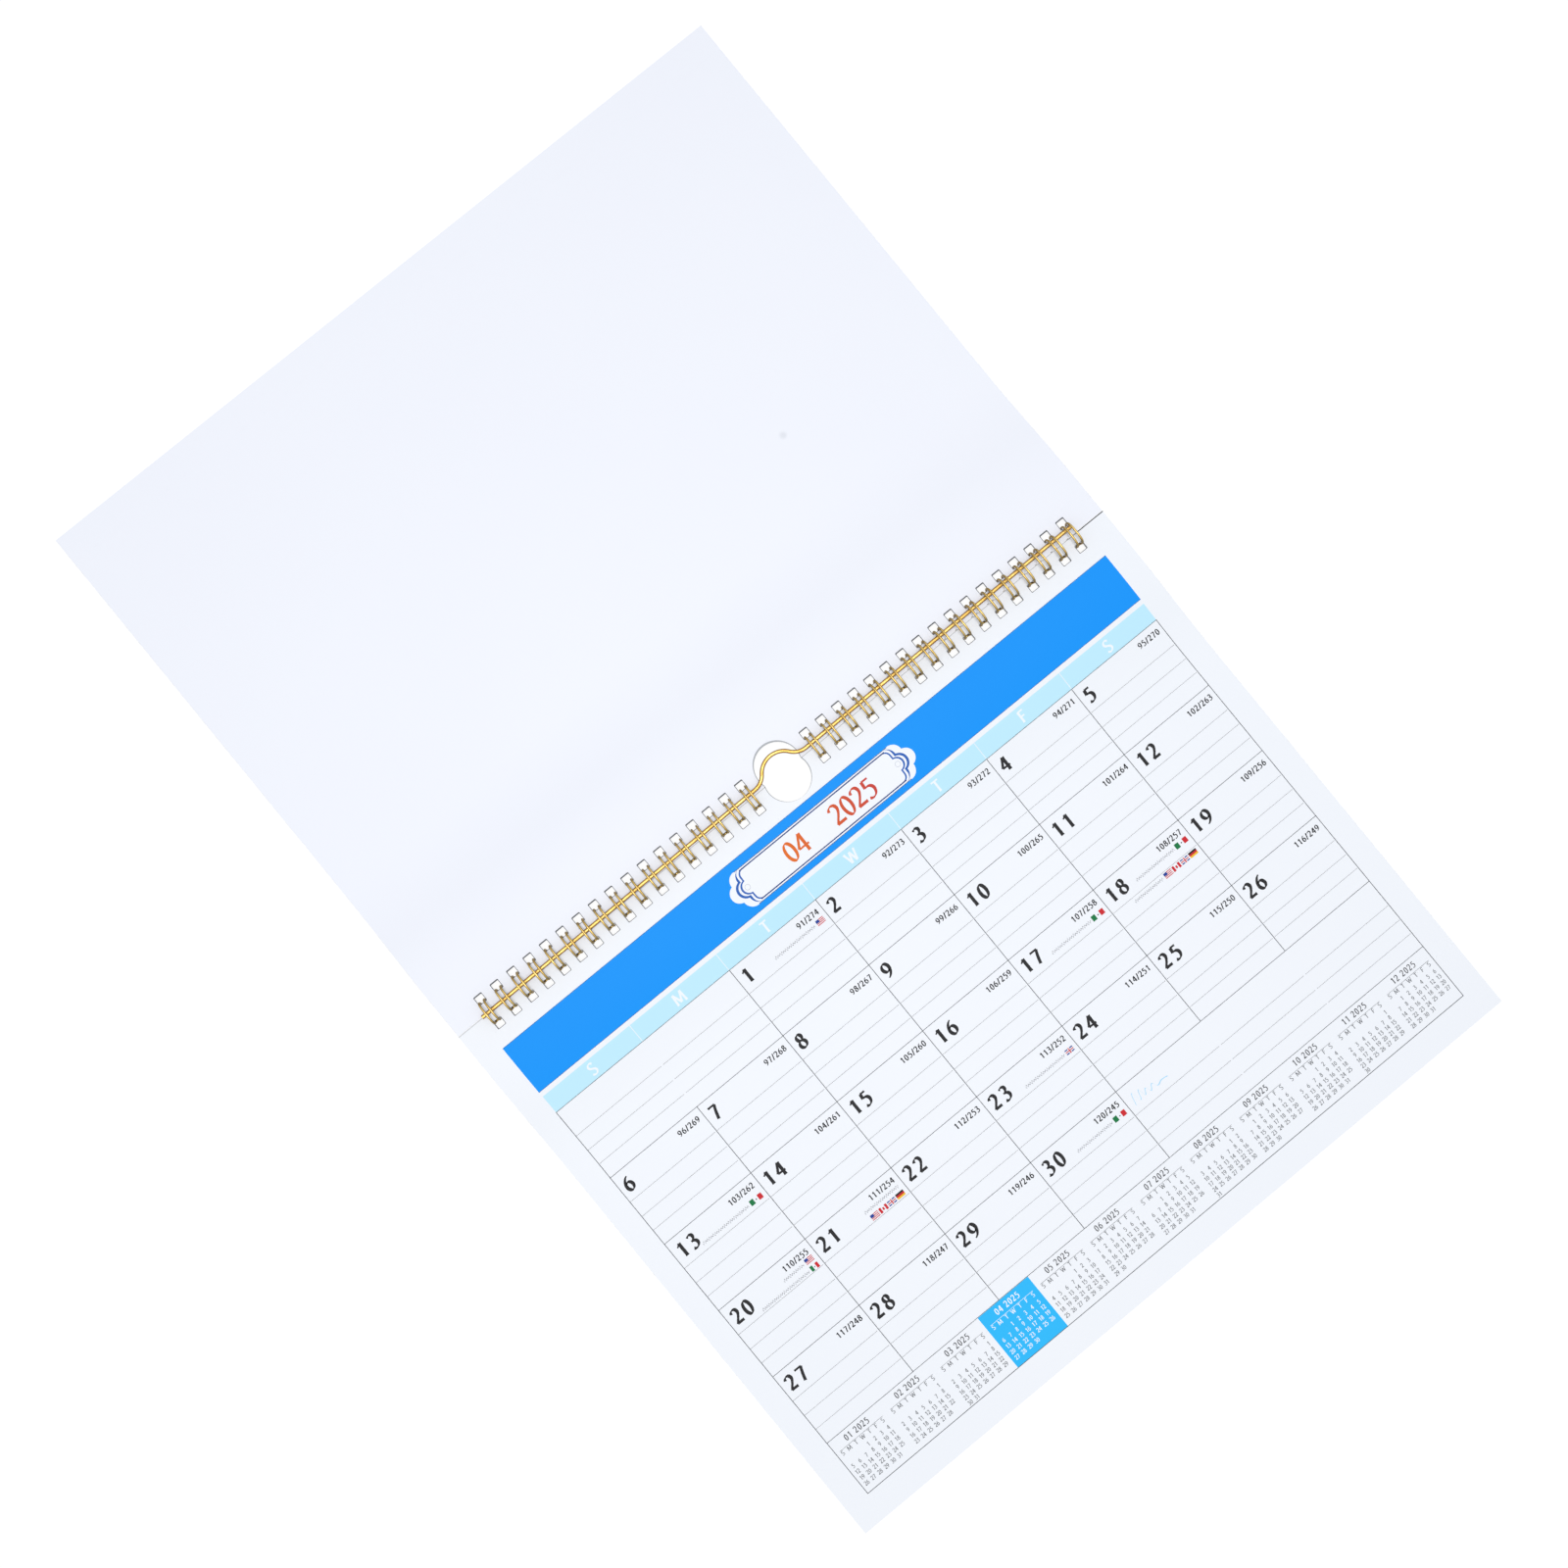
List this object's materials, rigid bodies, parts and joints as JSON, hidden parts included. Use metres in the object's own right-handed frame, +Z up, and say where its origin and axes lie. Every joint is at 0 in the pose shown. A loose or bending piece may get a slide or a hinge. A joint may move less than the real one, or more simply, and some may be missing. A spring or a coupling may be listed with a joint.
{
  "type": "wall calendar",
  "caption": "Landscape wall calendar with twin wire loops, a hanger wire and a thumb cut, lying open at one month with earlier leaves turned over.",
  "frame": {"origin": "on the table, under the middle of the binding", "axes": "+X along the binding, +Y towards the turned leaves, -Y towards the shown month, +Z up"},
  "size_m": [0.3376, 0.5182, 0.0126],
  "materials": {
    "board": "matt white-lined card",
    "leaves": "smooth coated white paper",
    "cover": "thin coated card",
    "wire": "gold coated steel wire",
    "hanger_wire": "gold coated steel wire",
    "blue_ink": "printed paper",
    "plaque_ink": "printed paper",
    "pale_blue_ink": "printed paper",
    "line_ink": "printed paper",
    "bright_blue_ink": "printed paper"
  },
  "bodies": {
    "bound_block": {"back_board": "board", "remaining_leaves": "leaves", "left_wire_comb": "wire", "right_wire_comb": "wire"},
    "shown_month": {"shown_leaf": "leaves", "title_band": "blue_ink", "title_plaque": "plaque_ink", "weekday_strip": "pale_blue_ink", "grid_lines": "line_ink", "month_highlight": "bright_blue_ink"},
    "turned_over": {"front_cover": "cover", "turned_leaves": "leaves"},
    "hanger_wire": {"hanger": "hanger_wire"}
  },
  "joints": [
    {"name": "shown_month_turn", "type": "hinge", "parent": "bound_block", "child": "shown_month", "pos_m": [0, 0, 0.00633], "axis": [-1, 0, 0], "range_deg": [0, 182]},
    {"name": "turned_over_close", "type": "hinge", "parent": "bound_block", "child": "turned_over", "pos_m": [0, 0, 0.00633], "axis": [-1, 0, 0], "range_deg": [-182, 0]},
    {"name": "hanger_swing", "type": "hinge", "parent": "turned_over", "child": "hanger_wire", "pos_m": [0, 0.0015, 0.00633], "axis": [0.9999, 0.0101, 0], "range_deg": [0, 180]}
  ]
}
